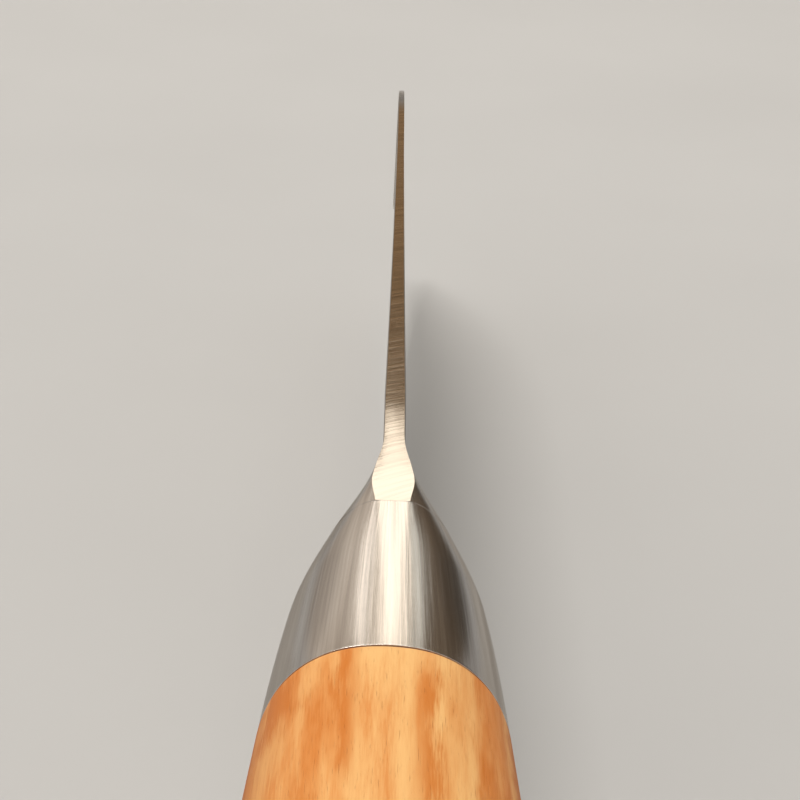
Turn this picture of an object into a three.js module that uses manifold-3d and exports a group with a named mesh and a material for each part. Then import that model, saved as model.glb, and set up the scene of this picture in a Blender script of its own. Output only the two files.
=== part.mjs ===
// Santoku kitchen knife: a ground steel blade with a flared neck and a hidden tang, a steel bolster
// collar and a one-piece wooden handle bonded to the tang.
// X runs forward along the blade to the tip, Y to the left and Z up, in millimetres. The origin is on
// the flat of the spine, straight above the heel, in the middle plane of the blade.

import * as THREE from 'three';
import { mergeVertices } from 'three/addons/utils/BufferGeometryUtils.js';
import Module from 'manifold-3d';

// Blade: lengths run along X from the heel, depths run down from the spine.
const BLADE_LENGTH = 165;
const HEEL_DEPTH = 46;
const TIP_DEPTH = 34;
const SPINE_THICKNESS = 2;
const TIP_THICKNESS = 0.2;
const TAPER_POWER = 1.6; // the spine thins faster near the heel than near the tip
const SPINE_STRAIGHT = 96; // the spine runs straight this far, then drops to the tip
const NOSE_POWER = 2.3; // how late the drop of the nose steepens
const BELLY_START = 38; // the edge is straight to here, then rises to the tip
const BELLY_POWER = 2.4;
const FLAT_RUN = 40; // length of the flat panel beside the heel
const BEVEL_HEIGHT = 1.2;
const EDGE_THICKNESS = 0.3; // thickness where the grind meets the edge bevel
const SPINE_CHAMFER = 0.15;
const TIP_BLUNT = 0.3;
const HEEL_RISE = 14; // height of the heel's straight back, before the choil curves away
const HEEL_LEAN = 1; // that back leans to the rear by this much over its height
const CHOIL_REACH = 14; // the choil runs back this far, into the neck
const CHOIL_BURIED = 1.7; // depth of its end inside the neck

// Grip outline: lengths run back from the heel, widths and depths are of the whole section.
const SPINE_BACK = 1.5; // the spine's flat goes on this far behind the heel
const FLARE_START = 6.5; // the flare begins inside the blade and comes out of its faces
const FLARE_START_WIDTH = 0.8;
const NECK_PLACE = 14.8;
const NECK_FLAT_PLACE = 17.8; // the flat on top is widest here
const NECK_LENGTH = 20.8; // heel to the seam of blade and bolster
const BOLSTER_LENGTH = 19.6;
const COLLAR_PLACE = 6.2; // from the seam to the fullest curve of the bolster
const PALM_PLACE = 31.6; // from the joint to the widest part of the handle
const HOLLOW_PLACE = 70; // from the joint to the finger hollow under the handle
const HANDLE_LENGTH = 101;
const NECK_WIDTH = 5.1;
const SEAM_WIDTH = 13.1;
const COLLAR_WIDTH = 18;
const JOINT_WIDTH = 21.6;
const PALM_WIDTH = 24.4;
const BUTT_WIDTH = 22;
const NECK_TOP = 0.85; // depths of the upper outline below the spine
const JOINT_TOP = 6.15;
const PALM_TOP = 7;
const BUTT_TOP = 11.2;
const NECK_BOTTOM = 19.2; // depths of the lower outline below the spine
const SEAM_BOTTOM = 22.6;
const JOINT_BOTTOM = 30.2;
const PALM_BOTTOM = 32.9;
const HOLLOW_BOTTOM = 32.2;
const BUTT_BOTTOM = 35.2;
const FLARE_START_FLAT = 0.5; // widths of the flat that the spine's plane cuts on the neck
const NECK_FLAT = 3.1;
const WIDEST_FLAT = 3.76;
const SEAM_FLAT = 3.06;
const JOINT_FLAT = 0.6;
const SQUARENESS = 2.3; // exponent of the section: 2 is an ellipse, more is squarer
const BUTT_ROUND = 13;
const BUTT_FLAT = 0.4; // share of the section left flat at the very end

// Tang and bond
const TANG_DEPTH = 10;
const TANG_END_DEPTH = 7;
const TANG_SEAM_DROP = 13.5; // centre line of the tang below the spine at the seam
const TANG_COVER = 30; // wood left behind the end of the mortise
const TANG_ROOT = 3; // the tang starts this far inside the neck
const GLUE_LINE = 0.2; // film between bolster and wood
const GLUE_WALL = 0.8; // adhesive around the tang
const FIT_GAP = 0.3;

// Mesh fineness
const ARC_POINTS = 26;
const NECK_STEPS = 9;
const ROOT_STEPS = 3;
const BOLSTER_STEPS = 12;
const HANDLE_STEPS = 16;
const BUTT_STEPS = 7;
const PANEL_STEPS = 3;
const NOSE_STEPS = 14;
const CHOIL_POINTS = 16;
const OVERRUN = 5; // cutters run this far past what they cut
const WELD = 1e-5;

const JOINT_PLACE = NECK_LENGTH + BOLSTER_LENGTH;
const WOOD_PLACE = JOINT_PLACE + GLUE_LINE;
const BUTT_PLACE = WOOD_PLACE + HANDLE_LENGTH;
const TANG_END = BUTT_PLACE - TANG_COVER - GLUE_WALL - 2 * FIT_GAP;

const wasm = await Module();
wasm.setup();

/** Smooth curve through [place, value] pairs that never overshoots them and is level at both ends. */
function smoothThrough(points) {
  const slopes = points.map(([place, value], i) => {
    if (i === 0 || i === points.length - 1) return 0;
    const before = (value - points[i - 1][1]) / (place - points[i - 1][0]);
    const after = (points[i + 1][1] - value) / (points[i + 1][0] - place);
    return before * after > 0 ? (2 * before * after) / (before + after) : 0;
  });
  return (place) => {
    const last = points.length - 1;
    if (place <= points[0][0]) return points[0][1];
    if (place >= points[last][0]) return points[last][1];
    const i = points.findIndex(([next]) => next > place) - 1;
    const run = points[i + 1][0] - points[i][0];
    const t = (place - points[i][0]) / run;
    const rise = points[i + 1][1] - points[i][1];
    const ease = t * t * (3 - 2 * t);
    const leave = t * (1 - t) * (1 - t) * slopes[i] * run;
    const arrive = t * t * (1 - t) * slopes[i + 1] * run;
    return points[i][1] + rise * ease + leave - arrive;
  };
}

/** Evenly spaced numbers from first to last, both included. */
function spread(first, last, steps) {
  return Array.from({ length: steps + 1 }, (_, i) => first + ((last - first) * i) / steps);
}

const gripHalfWidth = smoothThrough([
  [FLARE_START, FLARE_START_WIDTH / 2],
  [NECK_PLACE, NECK_WIDTH / 2],
  [NECK_LENGTH, SEAM_WIDTH / 2],
  [NECK_LENGTH + COLLAR_PLACE, COLLAR_WIDTH / 2],
  [JOINT_PLACE, JOINT_WIDTH / 2],
  [JOINT_PLACE + PALM_PLACE, PALM_WIDTH / 2],
  [BUTT_PLACE, BUTT_WIDTH / 2],
]);
const gripTop = smoothThrough([
  [SPINE_BACK, 0],
  [NECK_PLACE, -NECK_TOP],
  [JOINT_PLACE, -JOINT_TOP],
  [JOINT_PLACE + PALM_PLACE, -PALM_TOP],
  [BUTT_PLACE, -BUTT_TOP],
]);
const gripBottom = smoothThrough([
  [FLARE_START, -NECK_BOTTOM],
  [NECK_LENGTH, -SEAM_BOTTOM],
  [JOINT_PLACE, -JOINT_BOTTOM],
  [JOINT_PLACE + PALM_PLACE, -PALM_BOTTOM],
  [JOINT_PLACE + HOLLOW_PLACE, -HOLLOW_BOTTOM],
  [BUTT_PLACE, -BUTT_BOTTOM],
]);
const flatHalfWidth = smoothThrough([
  [FLARE_START, FLARE_START_FLAT / 2],
  [NECK_PLACE, NECK_FLAT / 2],
  [NECK_FLAT_PLACE, WIDEST_FLAT / 2],
  [NECK_LENGTH, SEAM_FLAT / 2],
  [JOINT_PLACE, JOINT_FLAT / 2],
]);

/** Section of the grip at a place behind the heel: a superellipse with its crown cut flat. */
function gripRing(place, shrink = 1) {
  const half = gripHalfWidth(place);
  const top = gripTop(place);
  const bottom = gripBottom(place);
  const middle = (top + bottom) / 2;
  const power = 2 / SQUARENESS;
  const corner = Math.acos((flatHalfWidth(place) / half) ** (1 / power));
  const crown = (top - middle) / Math.sin(corner) ** power;
  return spread(Math.PI - corner, 2 * Math.PI + corner, ARC_POINTS - 1).map((angle) => {
    const c = Math.cos(angle);
    const s = Math.sin(angle);
    const y = half * Math.sign(c) * Math.abs(c) ** power;
    const z = (s > 0 ? crown : middle - bottom) * Math.sign(s) * Math.abs(s) ** power;
    return [-place, y * shrink, middle + z * shrink];
  });
}

/** Closed skin over rings of equal length, given in the order of rising X and turning from Y to Z. */
function loft(rings) {
  const count = rings[0].length;
  const triangles = [];
  for (let j = 0; j + 1 < rings.length; j += 1) {
    for (let i = 0; i < count; i += 1) {
      const here = j * count;
      const next = here + count;
      const after = (i + 1) % count;
      triangles.push(here + i, here + after, next + after, here + i, next + after, next + i);
    }
  }
  const front = (rings.length - 1) * count;
  for (let i = 1; i + 1 < count; i += 1) {
    triangles.push(0, i + 1, i, front, front + i, front + i + 1);
  }
  const geometry = new THREE.BufferGeometry();
  geometry.setAttribute('position', new THREE.Float32BufferAttribute(rings.flat(2), 3));
  geometry.setIndex(triangles);
  return geometry;
}

/** Flat plate of a given thickness, centred on the middle plane, from an outline of [x, z] points. */
function plate(outline, thickness) {
  const shape = new THREE.Shape(outline.map(([x, z]) => new THREE.Vector2(x, z)));
  const geometry = new THREE.ExtrudeGeometry(shape, { depth: thickness, bevelEnabled: false });
  geometry.translate(0, 0, -thickness / 2);
  geometry.rotateX(Math.PI / 2);
  return geometry;
}

function toSolid(geometry) {
  const bare = geometry.clone();
  bare.deleteAttribute('normal');
  bare.deleteAttribute('uv');
  const welded = mergeVertices(bare, WELD);
  return new wasm.Manifold(new wasm.Mesh({
    numProp: 3,
    vertProperties: new Float32Array(welded.attributes.position.array),
    triVerts: new Uint32Array(welded.index.array),
  }));
}

function toGeometry(solid) {
  const mesh = solid.getMesh();
  const geometry = new THREE.BufferGeometry();
  geometry.setAttribute('position', new THREE.BufferAttribute(mesh.vertProperties, 3));
  geometry.setIndex(new THREE.BufferAttribute(mesh.triVerts, 1));
  geometry.computeVertexNormals();
  return geometry;
}

/** Height of the spine along the blade: straight, then a sheepsfoot drop to the tip. */
function spineHeight(x) {
  if (x <= SPINE_STRAIGHT) return gripTop(-x);
  return -TIP_DEPTH * ((x - SPINE_STRAIGHT) / (BLADE_LENGTH - SPINE_STRAIGHT)) ** NOSE_POWER;
}

/** Height of the cutting edge along the blade: straight, then a belly that rises to the tip. */
function edgeHeight(x) {
  if (x <= BELLY_START) return -HEEL_DEPTH;
  const along = (x - BELLY_START) / (BLADE_LENGTH - BELLY_START);
  return -HEEL_DEPTH + (HEEL_DEPTH - TIP_DEPTH) * along ** BELLY_POWER;
}

function spineHalfThickness(x) {
  const left = 1 - Math.max(x, 0) / BLADE_LENGTH;
  return (TIP_THICKNESS + (SPINE_THICKNESS - TIP_THICKNESS) * left ** TAPER_POWER) / 2;
}

/** Section of the blade: chamfered spine, straight grind on both sides and a sharp edge bevel. */
function bladeRing(x) {
  const top = spineHeight(x);
  const edge = edgeHeight(x);
  const half = spineHalfThickness(x);
  const depth = top - edge;
  const chamfer = Math.min(SPINE_CHAMFER, depth / 5, half / 2);
  const shoulder = edge + Math.min(BEVEL_HEIGHT, depth / 3);
  const land = Math.min(EDGE_THICKNESS / 2, half);
  return [
    [x, -half + chamfer, top],
    [x, -half, top - chamfer],
    [x, -land, shoulder],
    [x, 0, edge],
    [x, land, shoulder],
    [x, half, top - chamfer],
    [x, half - chamfer, top],
  ];
}

/** Everything behind the heel and under the neck: up the leaning heel, then a quarter ellipse back. */
function choilOutline() {
  const heelTop = -HEEL_DEPTH + HEEL_RISE;
  const curveRise = gripBottom(CHOIL_REACH) + CHOIL_BURIED - heelTop;
  const curve = spread(0, Math.PI / 2, CHOIL_POINTS).map((angle) => [
    -HEEL_LEAN - (CHOIL_REACH - HEEL_LEAN) * (1 - Math.cos(angle)),
    heelTop + curveRise * Math.sin(angle),
  ]);
  const below = -HEEL_DEPTH - OVERRUN;
  const behind = -CHOIL_REACH - OVERRUN;
  const heel = [0, -HEEL_DEPTH];
  return [[0, below], heel, ...curve, [behind, heelTop + curveRise], [behind, below]];
}

/** Side outline of the tang, grown all round, from a given X back to its end. */
function tangOutline(grow, from) {
  const seam = -NECK_LENGTH;
  const end = -TANG_END - grow;
  const endDrop = -(gripTop(TANG_END) + gripBottom(TANG_END)) / 2;
  const blend = (x) => (seam - x) / (seam + TANG_END);
  const centre = (x) => -TANG_SEAM_DROP + (TANG_SEAM_DROP - endDrop) * blend(x);
  const reach = (x) => (TANG_DEPTH + (TANG_END_DEPTH - TANG_DEPTH) * blend(x)) / 2 + grow;
  return [
    [from, centre(from) - reach(from)],
    [from, centre(from) + reach(from)],
    [end, centre(end) + reach(end)],
    [end, centre(end) - reach(end)],
  ];
}

function tangPlate(grow, from) {
  return toSolid(plate(tangOutline(grow, from), SPINE_THICKNESS + 2 * grow));
}

/** Blade, neck and tang in one forging. */
function makeBlade() {
  const neckPlaces = spread(NECK_LENGTH, FLARE_START, NECK_STEPS);
  const rootPlaces = [
    CHOIL_REACH,
    ...neckPlaces.filter((place) => place < CHOIL_REACH),
    ...spread(FLARE_START, SPINE_BACK, ROOT_STEPS).slice(1),
  ];
  const stations = [
    ...rootPlaces.map((place) => -place),
    ...spread(FLAT_RUN, SPINE_STRAIGHT, PANEL_STEPS),
    ...spread(SPINE_STRAIGHT, BLADE_LENGTH - TIP_BLUNT, NOSE_STEPS).slice(1),
  ];
  const choil = plate(choilOutline(), NECK_WIDTH + OVERRUN);
  const ground = toSolid(loft(stations.map(bladeRing))).subtract(toSolid(choil));
  const neck = toSolid(loft(neckPlaces.map((place) => gripRing(place))));
  return toGeometry(ground.add(neck).add(tangPlate(0, -NECK_LENGTH + TANG_ROOT)));
}

/** Collar that goes on with the flare of the neck, slotted for the tang. */
function makeBolster() {
  const places = spread(JOINT_PLACE, NECK_LENGTH, BOLSTER_STEPS);
  const collar = toSolid(loft(places.map((place) => gripRing(place))));
  return toGeometry(collar.subtract(tangPlate(FIT_GAP, -NECK_LENGTH + OVERRUN)));
}

/** Adhesive: a film across the joint and a sleeve around the tang. */
function makeGlueBed() {
  const film = toSolid(loft([gripRing(WOOD_PLACE), gripRing(JOINT_PLACE)]));
  const sleeve = tangPlate(FIT_GAP + GLUE_WALL, -JOINT_PLACE);
  return toGeometry(film.add(sleeve).subtract(tangPlate(FIT_GAP, -JOINT_PLACE + OVERRUN)));
}

/** One-piece grip with a rounded butt, mortised for the tang and its adhesive. */
function makeHandle() {
  const straight = BUTT_PLACE - BUTT_ROUND;
  const butt = spread(Math.PI / 2, 0, BUTT_STEPS).map((angle) => {
    const shrink = BUTT_FLAT + (1 - BUTT_FLAT) * Math.cos(angle);
    return gripRing(straight + BUTT_ROUND * Math.sin(angle), shrink);
  });
  const body = spread(straight, WOOD_PLACE, HANDLE_STEPS).slice(1).map((place) => gripRing(place));
  const mortise = tangPlate(2 * FIT_GAP + GLUE_WALL, -JOINT_PLACE + OVERRUN);
  return toGeometry(toSolid(loft([...butt, ...body])).subtract(mortise));
}

const steel = new THREE.MeshStandardMaterial({ color: 0x9c958c, roughness: 0.35, metalness: 1 });
const polished = new THREE.MeshStandardMaterial({ color: 0xc9c4bc, roughness: 0.2, metalness: 1 });
const adhesive = new THREE.MeshStandardMaterial({ color: 0x5a2a16, roughness: 0.6, metalness: 0 });
const wood = new THREE.MeshStandardMaterial({ color: 0xd98a42, roughness: 0.45, metalness: 0 });

function piece(name, geometry, material) {
  const mesh = new THREE.Mesh(geometry, material);
  mesh.name = name;
  return mesh;
}

const knife = new THREE.Group();
knife.add(
  piece('blade', makeBlade(), steel),
  piece('bolster', makeBolster(), polished),
  piece('glue_bed', makeGlueBed(), adhesive),
  piece('handle', makeHandle(), wood),
);

export default knife;
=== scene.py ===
# %% [markdown]
# # A santoku knife, seen along its spine
# The knife is a ground steel blade whose neck flares into a polished bolster, with a smooth wooden
# handle behind it. The packed solids give every place and size, so they are loaded first and measured,
# and each visible piece is then a finer skin over the solid of the same name.

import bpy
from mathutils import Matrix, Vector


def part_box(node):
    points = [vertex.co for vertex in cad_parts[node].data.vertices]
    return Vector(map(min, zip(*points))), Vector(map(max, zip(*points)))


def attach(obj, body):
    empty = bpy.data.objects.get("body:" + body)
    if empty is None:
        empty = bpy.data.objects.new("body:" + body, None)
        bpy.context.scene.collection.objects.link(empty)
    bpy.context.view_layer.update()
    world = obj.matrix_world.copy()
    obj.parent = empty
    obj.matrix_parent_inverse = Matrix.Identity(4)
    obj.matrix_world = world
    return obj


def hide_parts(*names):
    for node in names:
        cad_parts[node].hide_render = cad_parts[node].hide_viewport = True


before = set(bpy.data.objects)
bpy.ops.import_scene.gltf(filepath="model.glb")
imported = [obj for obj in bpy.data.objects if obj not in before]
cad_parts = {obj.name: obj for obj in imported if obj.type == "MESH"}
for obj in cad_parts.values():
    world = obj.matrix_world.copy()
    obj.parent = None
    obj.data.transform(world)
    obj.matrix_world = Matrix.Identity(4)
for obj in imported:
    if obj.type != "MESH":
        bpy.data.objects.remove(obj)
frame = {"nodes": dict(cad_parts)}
print("solids:", ", ".join(frame["nodes"]))

# %% Measure the packed solids
import math

import bpy
import numpy as np
from mathutils import Matrix, Vector

MM = 0.001
scene = bpy.context.scene
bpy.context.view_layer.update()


def span(node):
    """Lowest and highest corner of a solid, in millimetres."""
    return [np.array(corner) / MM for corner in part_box(node)]


blade_low, blade_high = span("blade")
bolster_low, bolster_high = span("bolster")
handle_low, handle_high = span("handle")

TIP = blade_high[0]  # X of the tip, with the heel at 0
HEEL_DEPTH = -blade_low[2]
SEAM = -bolster_high[0]  # places behind the heel
JOINT = -bolster_low[0]
WOOD = -handle_high[0]
BUTT = -handle_low[0]
print(f"tip {TIP:.1f}, seam {SEAM:.1f}, joint {JOINT:.1f}, wood {WOOD:.1f}, butt {BUTT:.1f} mm")

# %% [markdown]
# ## Camera
# The photograph looks forward along the spine from behind and above the handle. A camera could be aimed
# at an empty, but then its roll is hard to set. Here its matrix is built from where it stands and three
# angles, so that the seam, the joint and the tip fall on the same pixels. A long lens keeps the depth of
# the scene calm.

# %% Camera
EYE = Vector((-245.25, 2.0, 95.43)) * MM
PITCH_DOWN = math.radians(21.379)
YAW = math.radians(-0.573)
ROLL = math.radians(2.567)
FOCAL_PIXELS = 2801.5
FRAME_PIXELS = 800
SENSOR = 36.0
NEAREST = 0.01

ahead = Vector((
    math.cos(PITCH_DOWN) * math.cos(YAW),
    math.cos(PITCH_DOWN) * math.sin(YAW),
    -math.sin(PITCH_DOWN),
))
level_right = Vector((math.sin(YAW), -math.cos(YAW), 0))
level_up = level_right.cross(ahead)
right = math.cos(ROLL) * level_right + math.sin(ROLL) * level_up
up = math.cos(ROLL) * level_up - math.sin(ROLL) * level_right

lens = bpy.data.cameras.new("camera")
lens.sensor_width = SENSOR
lens.lens = FOCAL_PIXELS / FRAME_PIXELS * SENSOR
lens.clip_start = NEAREST
camera = bpy.data.objects.new("camera", lens)
camera.matrix_world = Matrix.Translation(EYE) @ Matrix((right, up, -ahead)).transposed().to_4x4()
scene.collection.objects.link(camera)
scene.camera = camera
print(f"lens {lens.lens:.1f} mm")

# %% [markdown]
# ## Outlines
# A grinder works a knife by eye from a few places: how wide and how deep it is at the neck, the seam,
# the joint and the palm. The outlines here are smooth curves through the same few places, so the skins
# of all the pieces meet. A spline could overshoot between two places and leave a bump in the steel, so
# the slope at each place is the harmonic mean of its neighbours, which never does.

# %% Smooth curve through a few places
def smooth_through(points):
    """A cubic between each two (place, value) pairs, level at both ends and at every turn."""
    places, values = np.array(points, float).T
    steps = np.diff(values) / np.diff(places)
    same_way = steps[:-1] * steps[1:] > 0
    total = np.where(same_way, steps[:-1] + steps[1:], 1)
    middle = np.where(same_way, 2 * steps[:-1] * steps[1:] / total, 0)
    slopes = np.concatenate(([0], middle, [0]))

    def curve(place):
        place = np.clip(place, places[0], places[-1])
        i = np.clip(np.searchsorted(places, place, side="right") - 1, 0, len(steps) - 1)
        run = places[i + 1] - places[i]
        t = (place - places[i]) / run
        ease = t * t * (3 - 2 * t)
        leave = t * (1 - t) ** 2 * slopes[i] * run
        arrive = t ** 2 * (1 - t) * slopes[i + 1] * run
        return values[i] + (values[i + 1] - values[i]) * ease + leave - arrive

    return curve


print(f"halfway along a step from 0 to 1: {smooth_through([(0, 0), (1, 1)])(0.5):.2f}")

# %% Outlines of the grip
SPINE_BACK = 1.5  # the flat of the spine goes on this far behind the heel
FLARE_START = SEAM - 14.3
NECK = SEAM - 6.0
NECK_FLAT = SEAM - 3.0
COLLAR = SEAM + 6.2
PALM = JOINT + 31.6
HOLLOW = JOINT + 70.0

grip_half_width = smooth_through([
    (FLARE_START, 0.4),
    (NECK, 2.55),
    (SEAM, blade_high[1]),
    (COLLAR, 9.0),
    (JOINT, bolster_high[1]),
    (PALM, 12.2),
    (BUTT, 11.0),
])
grip_top = smooth_through([
    (SPINE_BACK, 0.0),
    (NECK, -0.85),
    (JOINT, -6.15),
    (PALM, -7.0),
    (BUTT, -11.2),
])
grip_bottom = smooth_through([
    (FLARE_START, -19.2),
    (SEAM, -22.6),
    (JOINT, -30.2),
    (PALM, -32.9),
    (HOLLOW, -32.2),
    (BUTT, -35.2),
])
flat_half_width = smooth_through([
    (FLARE_START, 0.25),
    (NECK, 1.55),
    (NECK_FLAT, 1.88),
    (SEAM, 1.53),
    (JOINT, 0.3),
])
print(f"widest {2 * grip_half_width(PALM):.1f} mm, {-grip_top(JOINT):.2f} mm down at the joint")

# %% [markdown]
# ## Skins
# Every piece of the knife is a section carried along the knife. The section of the grip is a
# superellipse, a little squarer than an ellipse, with its crown cut flat where the grinder ran the plane
# of the spine back over the neck. A sculpted block would need a modifier for every curve. Rings of points
# along the knife, joined by quads and closed by a fan at each end, are exact, and their rows of points
# run lengthwise, as the polishing does.

# %% Rings of the grip
SQUARENESS = 2.3
POWER = 2 / SQUARENESS
ARC_POINTS = 340
FLAT_POINTS = 28


def grip_rings(place, shrink=1.0, inset=0.0):
    """Rings of |y/half|^n + |z/height|^n = 1, with the crown cut between the corners of the flat."""
    place = np.asarray(place, float)[:, None]
    shrink = np.broadcast_to(np.reshape(shrink, (-1, 1)), place.shape)
    inset = np.broadcast_to(np.reshape(inset, (-1, 1)), place.shape)
    half = grip_half_width(place) - inset
    top = grip_top(place) - inset
    bottom = grip_bottom(place) + inset
    middle = (top + bottom) / 2
    flat = flat_half_width(place)
    corner = np.arccos((flat / half) ** (1 / POWER))
    crown = (top - middle) / np.sin(corner) ** POWER
    angle = np.pi - corner + np.linspace(0, 1, ARC_POINTS) * (np.pi + 2 * corner)
    c, s = np.cos(angle), np.sin(angle)
    arc_y = half * np.sign(c) * np.abs(c) ** POWER
    arc_z = np.where(s > 0, crown, middle - bottom) * np.sign(s) * np.abs(s) ** POWER
    across = np.linspace(1, -1, FLAT_POINTS + 2)[1:-1]
    y = np.concatenate((arc_y, flat * across), axis=1) * shrink
    z = np.concatenate((arc_z, (top - middle) + 0 * across), axis=1) * shrink + middle
    return np.stack((np.broadcast_to(-place, y.shape), y, z), axis=-1)


def soften(rings, passes):
    """Rounds each ring's corners: every point moves halfway to the mean of its two neighbours."""
    for _ in range(passes):
        rings = (np.roll(rings, 1, axis=1) + 2 * rings + np.roll(rings, -1, axis=1)) / 4
    return rings


print("points in a ring of the grip:", ARC_POINTS + FLAT_POINTS)

# %% Mesh over rings
CRISP = math.radians(28)  # an edge that bends by more than this stays sharp


def with_middles(rings):
    """All values of the rings in a row, then the mean of the first ring and of the last one."""
    values = rings.reshape(rings.shape[0] * rings.shape[1], -1)
    return np.concatenate((values, rings[[0, -1]].mean(axis=1).reshape(2, -1)))


def mark_rows(mesh, size, rows):
    """Keeps a crisp line along each row of points that runs the length of the piece."""
    ends = np.empty(len(mesh.edges) * 2, int)
    mesh.edges.foreach_get("vertices", ends)
    ends = ends.reshape(-1, 2)
    row = ends % size
    in_ring = ends.max(axis=1) < len(mesh.vertices) - 2
    along = in_ring & (row[:, 0] == row[:, 1]) & np.isin(row[:, 0], rows)
    sharp = mesh.attributes.get("sharp_edge") or mesh.attributes.new("sharp_edge", "BOOLEAN", "EDGE")
    marks = np.empty(len(mesh.edges), bool)
    sharp.data.foreach_get("value", marks)
    sharp.data.foreach_set("value", marks | along)


def skin(name, rings, crisp_rows=()):
    """Quads between neighbouring rings and a fan to the middle of each end, turned outwards."""
    count, size = rings.shape[:2]
    index = np.arange(count * size).reshape(count, size)
    after = np.roll(index, -1, axis=1)
    quads = np.stack((index[:-1], index[1:], after[1:], after[:-1]), axis=-1).reshape(-1, 4)
    middle = np.full(size, count * size)
    front = np.stack((middle, index[0], after[0]), axis=-1)
    back = np.stack((middle + 1, after[-1], index[-1]), axis=-1)
    mesh = bpy.data.meshes.new(name)
    faces = quads.tolist() + front.tolist() + back.tolist()
    mesh.from_pydata((with_middles(rings) * MM).tolist(), [], faces)
    mesh.polygons.foreach_set("use_smooth", np.ones(len(mesh.polygons), bool))
    mesh.set_sharp_from_angle(angle=CRISP)
    mark_rows(mesh, size, crisp_rows)
    mesh.update()
    piece = bpy.data.objects.new(name, mesh)
    scene.collection.objects.link(piece)
    return piece


print(f"edges stay sharp above {math.degrees(CRISP):.0f} degrees")

# %% Values kept on a mesh
POLISH_RADIUS = 10.0  # of the circle that the polishing streaks are laid on


def note(piece, name, rings):
    """Stores a number or a vector for every point of a piece's rings, for its finish to read."""
    values = with_middles(rings).astype(np.float32)
    kind, key = ("FLOAT_VECTOR", "vector") if values.shape[1] == 3 else ("FLOAT", "value")
    attribute = piece.data.attributes.new(name, kind, "POINT")
    attribute.data.foreach_set(key, values.ravel())


def around(rings):
    """Each ring stretched to a circle, and the length, so that streaks run along without a seam."""
    section = rings[..., 1:]
    low, high = section.min(axis=1, keepdims=True), section.max(axis=1, keepdims=True)
    circle = (2 * section - low - high) / (high - low)
    circle = POLISH_RADIUS * circle / np.linalg.norm(circle, axis=2, keepdims=True)
    return np.concatenate((circle, rings[..., :1]), axis=2)


def volume(piece):
    """A sixth of the sum of a . (b x c) over all triangles, above 0 where the faces point outwards."""
    mesh = piece.data
    mesh.calc_loop_triangles()
    corners = np.empty(len(mesh.loop_triangles) * 3, int)
    mesh.loop_triangles.foreach_get("vertices", corners)
    points = np.empty(len(mesh.vertices) * 3)
    mesh.vertices.foreach_get("co", points)
    a, b, c = np.moveaxis(points.reshape(-1, 3)[corners.reshape(-1, 3)] / MM, 1, 0)
    return np.einsum("ij,ij->", a, np.cross(b, c)) / 6


print(f"streaks are laid on a circle of {POLISH_RADIUS:.0f} mm")

# %% [markdown]
# ## Blade
# The blade is one forging: a flat plate ground from the spine to the edge, whose root swells into the
# neck. It could be two meshes joined by a Boolean, but the blend between them is what the eye follows,
# so the section is one curve at every station: the wider of plate and neck, with a fillet between them.
# Below the neck the choil leaves the thin plate, square at its back.

# %% Outline of the blade
BLADE_LENGTH = 165.0
TIP_DEPTH = 34.0
SPINE_STRAIGHT = 96.0
NOSE_POWER = 2.3
BELLY_START = 38.0
BELLY_POWER = 2.4
HEEL_RISE = 14.0
HEEL_LEAN = 1.0
CHOIL_REACH = 14.0
CHOIL_END = grip_bottom(CHOIL_REACH) + 1.7


def rise(value, low, high):
    """Share of the way from low to high, held between 0 and 1."""
    return np.clip((value - low) / (high - low), 0, 1)


def spine_height(x):
    """Level along the blade, a power curve down to the tip ahead, and the grip's outline behind."""
    nose = -TIP_DEPTH * rise(x, SPINE_STRAIGHT, BLADE_LENGTH) ** NOSE_POWER
    return nose + grip_top(-x)


def edge_height(x):
    """Straight from the heel, then a power curve up to the tip."""
    return -HEEL_DEPTH + (HEEL_DEPTH - TIP_DEPTH) * rise(x, BELLY_START, BLADE_LENGTH) ** BELLY_POWER


def choil_height(x):
    """Up the leaning back of the heel, then a quarter ellipse back into the neck."""
    heel_top = -HEEL_DEPTH + HEEL_RISE
    curve = np.sqrt(1 - (1 - rise(-x, HEEL_LEAN, CHOIL_REACH)) ** 2)
    return heel_top - HEEL_RISE * rise(x, -HEEL_LEAN, 0) + (CHOIL_END - heel_top) * curve


print(f"blade {spine_height(TIP) - edge_height(TIP):.2f} mm deep at the tip")
print(f"choil ends {-CHOIL_END:.1f} mm below the spine")

# %% Plate of the blade
SPINE_HALF = 1.0
TIP_HALF = 0.1
TAPER_POWER = 1.6
BEVEL = 1.2
LAND_HALF = 0.15  # half thickness where the grind meets the edge bevel
EDGE_HALF = 0.01


def spine_half(x):
    """Half thickness of the spine, a power of the length that is left to the tip."""
    return TIP_HALF + (SPINE_HALF - TIP_HALF) * (1 - rise(x, 0, BLADE_LENGTH)) ** TAPER_POWER


def bevel_height(x):
    """Height of the edge bevel, at most a third of the blade's depth."""
    return np.minimum(BEVEL, (spine_height(x) - edge_height(x)) / 3)


def plate_half(x, z):
    """Half thickness of the plate: a straight grind to the land, then the edge bevel."""
    top, edge, half = spine_height(x), edge_height(x), spine_half(x)
    shoulder = edge + bevel_height(x)
    land = np.minimum(LAND_HALF, half)
    grind = land + (half - land) * rise(z, shoulder, top)
    bevel = EDGE_HALF + (land - EDGE_HALF) * rise(z, edge, shoulder)
    return np.where(z > shoulder, grind, bevel)


print(f"spine {2 * spine_half(0):.2f} mm thick at the heel, {2 * spine_half(TIP):.2f} mm at the tip")

# %% Neck of the blade
FILLET = 0.6
TINY = 1e-6


def wider(first, second, fillet):
    """The larger of two half widths, plus (fillet - gap)^2 / (4 * fillet) where the gap is smaller."""
    near = np.clip(fillet - np.abs(first - second), 0, None)
    return np.maximum(first, second) + near ** 2 / (4 * fillet)


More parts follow.
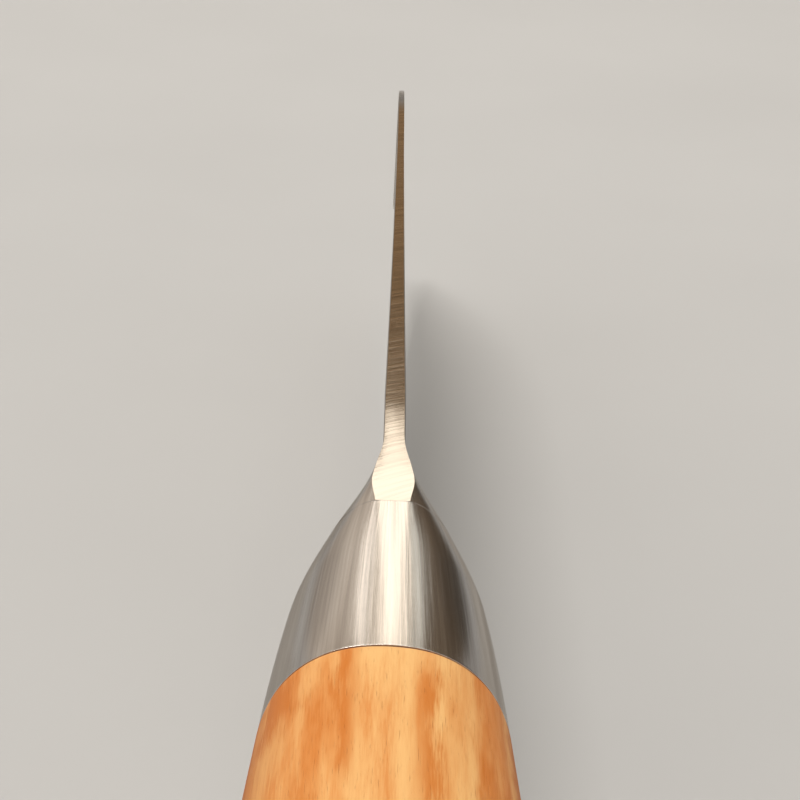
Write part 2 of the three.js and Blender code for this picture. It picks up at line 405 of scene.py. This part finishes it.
def neck_half(place, z):
    """half * (1 - |z/height|^n)^(1/n), the grip's half width at a height, and 0 ahead of the flare."""
    half, top, bottom = grip_half_width(place), grip_top(place), grip_bottom(place)
    middle = (top + bottom) / 2
    corner = np.arccos((flat_half_width(place) / half) ** (1 / POWER))
    crown = (top - middle) / np.sin(corner) ** POWER
    share = np.where(z > middle, (z - middle) / crown, (middle - z) / (middle - bottom))
    inside = half * np.clip(1 - np.clip(share, 0, 1) ** SQUARENESS, 0, 1) ** (1 / SQUARENESS)
    return np.where(place > FLARE_START, inside, 0)


def blade_half(x, z):
    """The wider of plate and neck; the fillet between them grows from nothing as the neck comes out."""
    has_plate = (x >= 0) | (z >= choil_height(x) - TINY)
    plate = np.where(has_plate, plate_half(x, z), EDGE_HALF)
    return wider(plate, neck_half(-x, z), FILLET * rise(-x, FLARE_START, NECK) + TINY)


print(f"neck {2 * grip_half_width(NECK):.1f} mm wide before it flares")

# %% Half section of the blade
SIDE_POINTS = 56
FINE_POINTS = 600
SPINE_POINTS = 7
FLAT_FILLET = 0.5
CHAMFER = 0.1
CROWN = 0.035  # fall of the spine's flat from its middle to its corners, as a share of its half width
FOOT = 0.02  # least height of the neck's side above its lowest point


def even_rows(profile, count):
    """Respaces each profile at equal distances along its own length."""
    steps = np.linalg.norm(np.diff(profile, axis=1), axis=2)
    length = np.concatenate((np.zeros((len(profile), 1)), np.cumsum(steps, axis=1)), axis=1)
    lane = 2.0 * np.arange(len(profile))[:, None]
    known = (lane + length / length[:, -1:]).ravel()
    wanted = lane + np.linspace(0, 1, count)
    spaced = [np.interp(wanted.ravel(), known, profile[..., k].ravel()) for k in range(3)]
    return np.stack(spaced, axis=-1).reshape(len(profile), count, 3)


def blade_side(x):
    """Left half of each section: crowned flat and its corner, chamfer, grind, land and edge."""
    x = x[:, None]
    top, edge = spine_height(x), edge_height(x)
    low = np.where(x < 0, np.minimum(choil_height(x), grip_bottom(-x)), edge)
    land = edge + bevel_height(x)
    shoulder = np.where(x < 0, np.maximum(low + FOOT, land), land)
    chamfer = np.minimum(CHAMFER, np.minimum((top - edge) / 5, spine_half(x) / 2))
    close = (1 - np.cos(np.linspace(0, np.pi, FINE_POINTS))) / 2
    z = (top - chamfer) + (shoulder - top + chamfer) * close
    grind = np.stack((x + 0 * z, blade_half(x, z), z), axis=-1)
    flat = wider(spine_half(x) - chamfer, flat_half_width(-x), FLAT_FILLET)
    across = np.arange(0.5, SPINE_POINTS + 1) / (SPINE_POINTS + 0.5)
    across[-1] = 1
    fall = CROWN * rise(x, -SEAM, -NECK) * flat * across ** 2
    crown = np.stack((x + 0 * fall, flat * across, top - np.minimum(fall, chamfer / 2)), axis=-1)
    foot = np.stack((x, blade_half(x, low), low), axis=-1)
    return np.concatenate((crown, even_rows(grind, SIDE_POINTS), foot), axis=1)


print("points in half a section:", SPINE_POINTS + 1 + SIDE_POINTS + 1)

# %% Skin of the blade
NECK_STATIONS = 130
HEEL_STATIONS = 30
SPINE_STATIONS = 60
NOSE_STATIONS = 110

stations = np.unique(np.concatenate((
    np.linspace(-SEAM, -HEEL_LEAN, NECK_STATIONS),
    np.linspace(-HEEL_LEAN, 0, HEEL_STATIONS),
    np.linspace(0, SPINE_STRAIGHT, SPINE_STATIONS),
    np.linspace(SPINE_STRAIGHT, TIP, NOSE_STATIONS),
)))
left_side = blade_side(stations)
right_side = left_side[:, ::-1] * (1, -1, 1)
blade_rings = np.concatenate((left_side, right_side), axis=1)
crisp = np.array((SPINE_POINTS, SPINE_POINTS + SIDE_POINTS))
blade = skin("blade_skin", blade_rings, np.concatenate((crisp, blade_rings.shape[1] - 1 - crisp)))

on_flat = np.zeros(blade_rings.shape[:2])
on_flat[:, :SPINE_POINTS + 1] = 1
on_flat[:, -SPINE_POINTS - 1:] = 1
above_edge = blade_rings[..., 2] - edge_height(blade_rings[..., 0])
note(blade, "flat", on_flat)
note(blade, "above_edge", above_edge)
note(blade, "around", around(blade_rings))
print(f"blade: {len(blade.data.polygons)} faces, {volume(blade):.0f} cubic mm")

# %% [markdown]
# ## Bolster
# The bolster is a steel collar polished lengthwise together with the neck. A bevelled tube would meet the
# neck at an angle, so the grip's rings go straight on from the blade's. The polishing wheel has worn the
# corners of the flat away behind the seam. A small round at each end leaves the fine lines that show
# where collar, blade and wood meet.

# %% Skin of the bolster
EDGE_ROUND = 0.03
ROUND_STEPS = 4
BOLSTER_STEPS = 70
WORN_PASSES = 25


def rounded_ends(front, back, steps, size):
    """Places from front to back, and how far a quarter circle at each end rounds in at each of them."""
    bend = np.linspace(0, np.pi / 2, ROUND_STEPS + 1)[:-1]
    run, drop = size * (1 - np.cos(bend)), size * (1 - np.sin(bend))
    body = np.linspace(front + size, back - size, steps)
    place = np.concatenate((front + run, body, back - run[::-1]))
    inset = np.concatenate((drop, np.zeros(steps), drop[::-1]))
    return place, inset


place, inset = rounded_ends(SEAM, JOINT, BOLSTER_STEPS, EDGE_ROUND)
bolster_rings = soften(grip_rings(place, inset=inset), WORN_PASSES)
bolster = skin("bolster_skin", bolster_rings)
note(bolster, "around", around(bolster_rings))
print(f"bolster: {len(bolster.data.polygons)} faces, {volume(bolster):.0f} cubic mm")

# %% [markdown]
# ## Adhesive
# The film of adhesive between collar and wood shows as a fine dark line. It could be painted on the wood,
# but a thin slice of the same section, set a hair below the surface, leaves a real groove with its own
# shade.

# %% Skin of the adhesive
FILM_DROP = 0.12
FILM_STEPS = 3
FILM_PASSES = 5

film_rings = grip_rings(np.linspace(JOINT, WOOD, FILM_STEPS), inset=FILM_DROP)
film = skin("glue_skin", soften(film_rings, FILM_PASSES))
print(f"adhesive: {len(film.data.polygons)} faces, {volume(film):.0f} cubic mm")

# %% [markdown]
# ## Handle
# The handle is one piece of wood, sanded flush with the collar. The same rings go on to the butt, where
# they shrink along a quarter ellipse to a soft flat end. A Bevel modifier would round the butt evenly,
# but a shaped handle is fuller at its sides than at its end.

# %% Skin of the handle
BUTT_ROUND = 13.0
BUTT_FLAT = 0.4
BUTT_STEPS = 40
WOOD_ROUND = 0.15
WOOD_STEPS = 120
SANDED_PASSES = 8

bend = np.linspace(0, np.pi / 2, BUTT_STEPS)[1:]
place, inset = rounded_ends(WOOD, BUTT - BUTT_ROUND, WOOD_STEPS, WOOD_ROUND)
place, inset = place[:-ROUND_STEPS], inset[:-ROUND_STEPS]
shrink = np.concatenate((np.ones(len(place)), BUTT_FLAT + (1 - BUTT_FLAT) * np.cos(bend)))
place = np.concatenate((place, BUTT - BUTT_ROUND + BUTT_ROUND * np.sin(bend)))
inset = np.concatenate((inset, np.zeros(len(bend))))
handle = skin("handle_skin", soften(grip_rings(place, shrink, inset), SANDED_PASSES))
print(f"handle: {len(handle.data.polygons)} faces, {volume(handle):.0f} cubic mm")

# %% [markdown]
# ## Finishes
# Each finish is a small shader program. Writing it as node after node is long, so a socket is wrapped in
# a class whose plus and times add the Math nodes, and every other node comes from one method.

# %% Shader expressions
class Wire:
    """A socket in a node tree that takes part in Python sums."""

    def __init__(self, tree, socket=None):
        self.tree = tree
        self.socket = socket

    def node(self, kind, settings, sockets, output=0):
        """Adds a node, sets its settings first, then fills or links its sockets."""
        made = self.tree.nodes.new(kind)
        for name, value in settings.items():
            if name == "stops":
                ramp = made.color_ramp.elements
                while len(ramp) < len(value):
                    ramp.new(1.0)
                for stop, (position, colour) in zip(ramp, value):
                    stop.position, stop.color = position, (*colour, 1)
            else:
                setattr(made, name, value)
        for key, value in sockets.items():
            if isinstance(value, Wire):
                self.tree.links.new(value.socket, made.inputs[key])
            else:
                made.inputs[key].default_value = value
        return Wire(self.tree, made.outputs[output])

    def sum(self, operation, first, second):
        """A Math node on two values, each of them a wire or a number."""
        return self.node("ShaderNodeMath", {"operation": operation}, {0: first, 1: second})

    def __add__(self, other):
        return self.sum("ADD", self, other)

    def __sub__(self, other):
        return self.sum("SUBTRACT", self, other)

    def __rsub__(self, other):
        return self.sum("SUBTRACT", other, self)

    def __mul__(self, other):
        return self.sum("MULTIPLY", self, other)

    __radd__ = __add__
    __rmul__ = __mul__

    def ramp(self, low, high, start=0.0, end=1.0):
        """Goes from start to end as the value goes from low to high, smoothly."""
        return self.node("ShaderNodeMapRange", {"interpolation_type": "SMOOTHSTEP"},
                         {0: self, 1: low, 2: high, 3: start, 4: end})

    def blend(self, first, second):
        """Mixes two colours by this value."""
        first, second = [c if isinstance(c, Wire) else (*c, 1) for c in (first, second)]
        return self.node("ShaderNodeMix", {"data_type": "RGBA"}, {0: self, 6: first, 7: second}, 2)

    def moved(self, shift):
        """This vector with another one added."""
        return self.node("ShaderNodeVectorMath", {"operation": "ADD"}, {0: self, 1: shift})

    def scaled(self, scale):
        """This vector with a scale for each of its directions."""
        return self.node("ShaderNodeVectorMath", {"operation": "MULTIPLY"}, {0: self, 1: scale})

    def part(self, axis):
        """One of this vector's three numbers."""
        return self.node("ShaderNodeSeparateXYZ", {}, {0: self}, axis)

    def spots(self, scale, detail, roughness, distortion=0.0):
        """Noise over this vector, with a scale for each of its directions."""
        return self.node("ShaderNodeTexNoise", {}, {
            "Vector": self.scaled(scale), "Scale": 1.0, "Detail": detail,
            "Roughness": roughness, "Distortion": distortion})

    def bump(self, height):
        """Normal of a surface with this relief, whose full height is given in metres."""
        return self.node("ShaderNodeBump", {}, {"Strength": 1.0, "Distance": height, "Height": self})


print("shader expressions:", ", ".join(name for name in vars(Wire) if not name.startswith("_")))

# %% Start of a finish
def start_finish(name, constants):
    """A new material whose shader has the values that are the same all over it."""
    material = bpy.data.materials.new(name)
    material.use_nodes = True
    shader = material.node_tree.nodes["Principled BSDF"]
    for socket, value in constants.items():
        shader.inputs[socket].default_value = value
    return material, shader, Wire(material.node_tree)


def feed(shader, wires):
    """Links what changes over the surface to the shader."""
    for socket, wire in wires.items():
        wire.tree.links.new(wire.socket, shader.inputs[socket])


def object_place(start):
    """Object coordinates in millimetres."""
    metres = start.node("ShaderNodeTexCoord", {}, {}, "Object")
    return metres.node("ShaderNodeVectorMath", {"operation": "SCALE"}, {0: metres, "Scale": 1 / MM})


def stored(start, name, output="Fac"):
    """A value that was noted on the piece's points."""
    return start.node("ShaderNodeAttribute", {"attribute_name": name}, {}, output)


noted = [layer.name for layer in blade.data.attributes if layer.domain == "POINT"]
print("values on the points of the blade:", ", ".join(noted))

# %% [markdown]
# ## Polished steel
# Neck and collar were polished lengthwise on a soft wheel. Under a light they show long streaks, some dull
# and some mirror bright, that follow the flare. An anisotropic shader would only smear the highlight.
# Noise on the circle round each section makes streaks that have no seam and no end.

# %% Polished steel
GRAZING_TINT = (0.50, 0.47, 0.44, 1)  # steel mirrors less where it is seen almost edge on
STEEL = {"Metallic": 1.0, "Specular Tint": GRAZING_TINT}
POLISH_DULL = (0.60, 0.565, 0.53)
POLISH_BRIGHT = (0.82, 0.795, 0.76)
POLISH_RELIEF = 0.03 * MM


def polish(start):
    """Colour, roughness and relief of streaks: broad ones, thin ones and some as fine as a hair."""
    circle = stored(start, "around", "Vector")
    broad = circle.spots((0.85, 0.85, 0.035), detail=2.0, roughness=0.5)
    thin = circle.spots((4.0, 4.0, 0.07), detail=4.0, roughness=0.6)
    hair = circle.spots((14.0, 14.0, 0.25), detail=3.0, roughness=0.6)
    tone = (broad * 0.55 + thin * 0.45).ramp(0.32, 0.68)
    rough = 0.13 + 0.11 * thin + 0.06 * hair
    relief = broad * 0.5 + thin * 0.3 + hair * 0.08
    return tone.blend(POLISH_DULL, POLISH_BRIGHT), rough, relief


bolster_steel, shader, start = start_finish("bolster_steel", STEEL)
colour, rough, relief = polish(start)
feed(shader, {"Base Color": colour, "Roughness": rough, "Normal": relief.bump(POLISH_RELIEF)})
bolster.data.materials.append(bolster_steel)
print("bolster steel:", len(bolster_steel.node_tree.nodes), "nodes")

# %% [markdown]
# ## Blade steel
# The spine was run across a coarse belt, so scratches lie aslant over it, deepest near the heel. The faces
# were ground on a finer one and carry satin lines from spine to edge, the edge bevel is honed bright, and
# the neck is polished as the collar is. A picture of brushed steel would repeat and stretch. Noise drawn
# out along each direction gives the lines, as colour, as roughness and as relief.

# %% Lines on the blade
BELT_ANGLE = math.radians(-31)
HONED_FADE = 0.1  # the honed finish ends over this height below the top of the edge bevel

blade_steel, shader, start = start_finish("blade_steel", STEEL)
place_mm = object_place(start)
flat = stored(start, "flat").ramp(0.5, 0.9)
honed = stored(start, "above_edge").ramp(BEVEL - HONED_FADE, BEVEL, 1.0, 0.0)
along = place_mm.part("X")
neck = along.ramp(-FLARE_START, -NECK)

belt = place_mm.node("ShaderNodeVectorRotate", {"rotation_type": "Z_AXIS"},
                     {"Vector": place_mm, "Angle": BELT_ANGLE})
deep = belt.spots((2.4, 0.05, 0.0), detail=3.0, roughness=0.6)
fine = belt.spots((8.0, 0.12, 0.0), detail=3.0, roughness=0.6)
grind = place_mm.spots((5.5, 1.0, 0.16), detail=5.0, roughness=0.66)
cloud = place_mm.spots((0.12, 0.2, 0.08), detail=3.0, roughness=0.5)
neck_colour, neck_rough, neck_relief = polish(start)
print("lines on the blade:", len(blade_steel.node_tree.nodes), "nodes")

# %% Blade steel
SPINE_DULL = (0.50, 0.465, 0.42)
SPINE_BRIGHT = (0.74, 0.70, 0.64)
FACE_DULL = (0.50, 0.485, 0.465)
FACE_BRIGHT = (0.64, 0.62, 0.59)
HONED = (0.76, 0.75, 0.73)
HONED_ROUGH = 0.16
GROUND_RELIEF = 0.06 * MM
COARSE_START = 40.0  # the scratches on the spine deepen from here to the heel

# colour: the scratched spine, the satin faces, the polished neck and the honed edge
spine_tone = (deep * 0.7 + fine * 0.3).ramp(0.34, 0.66)
spine_tone = spine_tone + neck * 0.6 * (0.85 - spine_tone)
face_tone = (grind * 0.8 + cloud * 0.2).ramp(0.34, 0.66)
face_colour = neck.blend(face_tone.blend(FACE_DULL, FACE_BRIGHT), neck_colour)
ground_colour = flat.blend(face_colour, spine_tone.blend(SPINE_DULL, SPINE_BRIGHT))
colour = honed.blend(ground_colour, HONED)

# roughness: the finer the belt, the smoother the steel
face_rough = 0.18 + 0.14 * grind + 0.10 * cloud
face_rough = face_rough + neck * (neck_rough - face_rough)
spine_rough = 0.08 + 0.07 * fine
rough = face_rough + flat * (spine_rough - face_rough)
rough = rough + honed * (HONED_ROUGH - rough)

# relief: the same lines as grooves, in shares of one height
lines = grind * 0.25
lines = lines + neck * (neck_relief * (POLISH_RELIEF / GROUND_RELIEF) - lines)
coarse = along.ramp(COARSE_START, 0.0, 0.55, 1.0)
relief = lines + flat * (coarse * (deep * 0.3 + fine * 0.12) - lines)
feed(shader, {"Base Color": colour, "Roughness": rough, "Normal": relief.bump(GROUND_RELIEF)})
blade.data.materials.append(blade_steel)
print("blade steel:", len(blade_steel.node_tree.nodes), "nodes")

# %% [markdown]
# ## Handle wood
# The handle is a honey-coloured wood with its grain along the knife. Pale and dark streaks one or two
# millimetres wide run for five or ten, over fine fibres and short pores, and redder stains lie on both
# sides of a pale back, whose middle is kept free of stain as a painted highlight. The top of the handle is
# sapwood with a painted highlight in its pale colour, and the sides, nearer the pith, are deeper heartwood
# with painted shade in its dark colour. A picture would have to be wrapped round the butt. A solid pattern
# on Object coordinates is cut by the surface as real grain is.

# %% Grain of the handle
# The pith lies below the handle. The distance from it gives the year rings, and it also puts painted shade
# on the sides and a painted highlight on the top.
PITH_Y = 3.0
PITH_Z = -44.0
LENGTH_SHARE = 0.02  # the rings widen only a little along the grain
RING_RATE = 0.42  # bands of early or late wood in a millimetre
# The pale back between the two stains is a painted highlight.
STAIN_SHIFT = (80.0, 37.0, 9.0)  # a stretch of the pattern with a stain on each side of the pale back

handle_wood, shader, start = start_finish("handle_wood", {"IOR": 1.46, "Specular IOR Level": 0.12})
place_mm = object_place(start)
across = place_mm.part("Y")
from_pith = place_mm.moved((0, -PITH_Y, -PITH_Z)).scaled((LENGTH_SHARE, 1, 1))
radius = start.node("ShaderNodeVectorMath", {"operation": "LENGTH"}, {0: from_pith}, "Value")
sway = place_mm.spots((0.035, 0.12, 0.12), detail=2.0, roughness=0.5)
bands = radius * RING_RATE + sway * 2.2
year = start.node("ShaderNodeMath", {"operation": "PINGPONG"}, {0: bands, 1: 1.0})

streak = place_mm.spots((0.045, 0.55, 0.55), detail=3.0, roughness=0.55, distortion=0.2)
dark = place_mm.moved(STAIN_SHIFT).spots((0.065, 0.31, 0.31), detail=3.0, roughness=0.5)
fibre = place_mm.spots((0.28, 6.0, 6.0), detail=4.0, roughness=0.6)
pores = place_mm.spots((0.5, 9.0, 9.0), detail=2.0, roughness=0.5).ramp(0.62, 0.80)
print("grain:", len(handle_wood.node_tree.nodes), "nodes")

# %% Handle wood
# Sapwood colours carry a painted highlight for the top of the handle, and heartwood colours carry painted
# shade for its sides, over the wood's own honey tone.
LIT_SAPWOOD_DARK = (0.76, 0.26, 0.055)
LIT_SAPWOOD_PALE = (0.97, 0.56, 0.215)
SHADED_HEARTWOOD_DARK = (0.47, 0.13, 0.02)
SHADED_HEARTWOOD_PALE = (0.65, 0.235, 0.05)
SHADED_HEARTWOOD_STAIN = (0.43, 0.112, 0.016)
LIT_SAPWOOD_STAIN = (0.66, 0.185, 0.022)
PORE = (0.40, 0.13, 0.03)
# Between these two radii, the painted shade of the sides turns into the painted highlight of the top.
HEART_SHADE_RADIUS = 31.0  # from the pith to where the heartwood starts to turn pale
SAP_SHEEN_RADIUS = 38.0
GRAIN_RELIEF = 0.04 * MM

tone = (streak * 0.55 + year * 0.18 + fibre * 0.27).ramp(0.30, 0.66)
# Painted shade on the sides and a painted highlight on the top, laid out as heartwood and sapwood.
sapwood_and_lit_top = (radius + sway * 3.0).ramp(HEART_SHADE_RADIUS, SAP_SHEEN_RADIUS)
honey = sapwood_and_lit_top.blend(tone.blend(SHADED_HEARTWOOD_DARK, SHADED_HEARTWOOD_PALE), tone.blend(LIT_SAPWOOD_DARK, LIT_SAPWOOD_PALE))
# The stains are kept off the middle of the top, which stays pale as a painted highlight.
beside_lit_back = (across * across).ramp(1.0, 12.0)
stain = (dark * 0.7 + fibre * 0.3).ramp(0.43, 0.61, 0.0, 0.85) * beside_lit_back
stained = stain.blend(honey, sapwood_and_lit_top.blend(SHADED_HEARTWOOD_STAIN, LIT_SAPWOOD_STAIN))
colour = (pores * 0.16).blend(stained, PORE)
rough = 0.46 + 0.14 * fibre + 0.12 * pores
relief = fibre * 0.5 - pores * 0.8
feed(shader, {"Base Color": colour, "Roughness": rough, "Normal": relief.bump(GRAIN_RELIEF)})
handle.data.materials.append(handle_wood)
print("handle wood:", len(handle_wood.node_tree.nodes), "nodes")

# %% [markdown]
# ## Adhesive line
# The cured adhesive is dark and a little glossy, with some grinding dust in it. One dark colour would look
# like a gap, so a fine noise dulls and lightens it where the dust is.

# %% Adhesive
CURED = (0.10, 0.03, 0.015)
DUSTY = (0.24, 0.09, 0.045)
DUST_RELIEF = 0.04 * MM

adhesive, shader, start = start_finish("adhesive", {"IOR": 1.5})
dust = object_place(start).spots((3.0, 3.0, 3.0), detail=3.0, roughness=0.6)
colour = dust.ramp(0.35, 0.7).blend(CURED, DUSTY)
feed(shader, {"Base Color": colour, "Roughness": 0.35 + 0.3 * dust, "Normal": dust.bump(DUST_RELIEF)})
film.data.materials.append(adhesive)
print("adhesive:", len(adhesive.node_tree.nodes), "nodes")

# %% [markdown]
# ## Pieces on the frame
# Each skin rides on the knife's one body and stands for the solid of its name.

# %% Pieces on the frame
for piece, node, slot in (
    (blade, "blade", "blade_steel"),
    (bolster, "bolster", "bolster_steel"),
    (film, "glue_bed", "adhesive"),
    (handle, "handle", "handle_wood"),
):
    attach(piece, "root")
    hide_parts(node)
    print(piece.name, "stands for", node)

# %% [markdown]
# ## Floor
# The knife stands on its edge over a pale table top, so the floor touches the lowest point of the blade.
# A backdrop with a bend would do as well, but a plain sheet far wider than the knife needs no placing.

# %% Floor
FLOOR_SIZE = 6.0
TABLE_DULL = (0.56, 0.555, 0.545)
TABLE_PALE = (0.60, 0.595, 0.585)

corners = np.array([(-1, -1), (1, -1), (1, 1), (-1, 1)]) * FLOOR_SIZE / 2
floor_mesh = bpy.data.meshes.new("floor")
floor_mesh.from_pydata([(x, y, -HEEL_DEPTH * MM) for x, y in corners], [], [(0, 1, 2, 3)])
floor = bpy.data.objects.new("floor", floor_mesh)
scene.collection.objects.link(floor)
table_top, shader, start = start_finish("table_top", {"Roughness": 0.7, "Specular IOR Level": 0.2})
mottle = object_place(start).spots((0.02, 0.02, 0.02), detail=2.0, roughness=0.5)
feed(shader, {"Base Color": mottle.blend(TABLE_DULL, TABLE_PALE)})
floor_mesh.materials.append(table_top)
print("floor at", round(-HEEL_DEPTH, 1), "mm")

# %% [markdown]
# ## Light
# Steel shows its lamps, so the lamps are shaped by what it should mirror. Long panels hang overhead, side
# by side, and run the way the knife points. The bolster and the flat of the neck mirror the middle one as
# a bright band, the others as a streak on the left and a cooler one on the right. One big panel would
# leave no streaks. A soft lamp high up lights the wood.

# %% Light
PANEL_HEIGHT = 0.9
WARM = (1.0, 0.91, 0.79)
AMBER = (1.0, 0.87, 0.71)
CREAM = (1.0, 0.93, 0.85)
COOL = (0.96, 1.0, 0.95)
SOFT_WHITE = (1.0, 0.97, 0.93)
KEY_PLACE = (-0.40, 0.75, 2.50)
KEY_SIZE = (1.0, 1.0)
KEY_GLOW = 10.5


def softbox(name, place, size, glow, colour):
    """A rectangular lamp at a place in metres that faces down and looks as bright as its glow."""
    lamp = bpy.data.lights.new(name, "AREA")
    lamp.shape = "RECTANGLE"
    lamp.size, lamp.size_y = size
    lamp.energy = glow * math.pi * size[0] * size[1]
    lamp.color = colour
    box = bpy.data.objects.new(name, lamp)
    box.location = place
    box.visible_camera = False
    scene.collection.objects.link(box)
    print(f"{name}: {lamp.energy:.2f} W")


for name, near, far, aside, width, glow, colour in (
    ("middle_panel_right", 0.22, 1.60, -0.0975, 0.135, 1.75, WARM),
    ("middle_panel_left", 0.22, 1.76, 0.0375, 0.135, 1.75, WARM),
    ("far_panel_right", 1.60, 2.06, -0.155, 0.25, 0.80, AMBER),
    ("far_panel_left", 1.76, 2.06, 0.095, 0.25, 0.80, AMBER),
    ("left_panel", 0.22, 1.86, 0.25, 0.11, 1.45, CREAM),
    ("right_panel", 0.22, 1.86, -0.31, 0.11, 0.90, COOL),
):
    softbox(name, ((near + far) / 2, aside, PANEL_HEIGHT), (far - near, width), glow, colour)
softbox("key", KEY_PLACE, KEY_SIZE, KEY_GLOW, SOFT_WHITE)

# %% [markdown]
# ## World
# The rest of what the steel mirrors is a plain pale room. Only ahead of the knife and above the horizon is
# it dim, so that the spine mirrors a brown grey and the right side of the bolster stays dark. Cards round
# the knife could do that, but they would stand in other views, while a world colour by direction is far
# away from all of them.

# %% World
LOW_BROWN = (0.455, 0.29, 0.155)
HIGH_BROWN = (0.12, 0.075, 0.038)
BESIDE = [  # from the right of straight ahead, at 0, to the left of it, at 1
    (0.20, (0.045, 0.036, 0.028)),
    (0.27, (0.12, 0.085, 0.055)),
    (0.5, (0.20, 0.14, 0.09)),
    (0.70, (0.68, 0.59, 0.50)),
    (0.79, (0.36, 0.31, 0.265)),
]
AHEAD = (0.2, 0.6)  # how far forward a direction points where the dim part starts and is full
HORIZON = (0.10, 0.24)  # how far up it points there
BROWN_BAND = (0.30, 0.372)  # how far up it points where the low brown ends and the high one begins
RIGHT_WALL = (0.47, 0.46, 0.45)
LEFT_WALL = (0.55, 0.54, 0.525)
CEILING = (0.62, 0.61, 0.59)

world = bpy.data.worlds.new("studio")
world.use_nodes = True
scene.world = world
sky = world.node_tree.nodes["Background"]
start = Wire(world.node_tree)
direction = start.node("ShaderNodeTexCoord", {}, {}, "Generated")
forward, leftward, upward = [direction.part(axis) for axis in "XYZ"]
brown = upward.ramp(*BROWN_BAND).blend(LOW_BROWN, HIGH_BROWN)
beside = start.node("ShaderNodeValToRGB", {"stops": BESIDE}, {0: leftward * 0.5 + 0.5})
straight_on = (leftward * leftward).ramp(0.01, 0.06, 1.0, 0.0)
dim_ahead = straight_on.blend(beside, brown)
walls = leftward.ramp(-0.6, 0.6).blend(RIGHT_WALL, LEFT_WALL)
room = upward.ramp(0.1, 0.7).blend(walls, CEILING)
in_front = forward.ramp(*AHEAD) * upward.ramp(*HORIZON)
feed(sky, {"Color": in_front.blend(room, dim_ahead)})
scene.view_settings.view_transform = "Standard"
print("world:", len(world.node_tree.nodes), "nodes")

# %% [markdown]
# ## Sizes
# A skin may round a solid but not outgrow it.
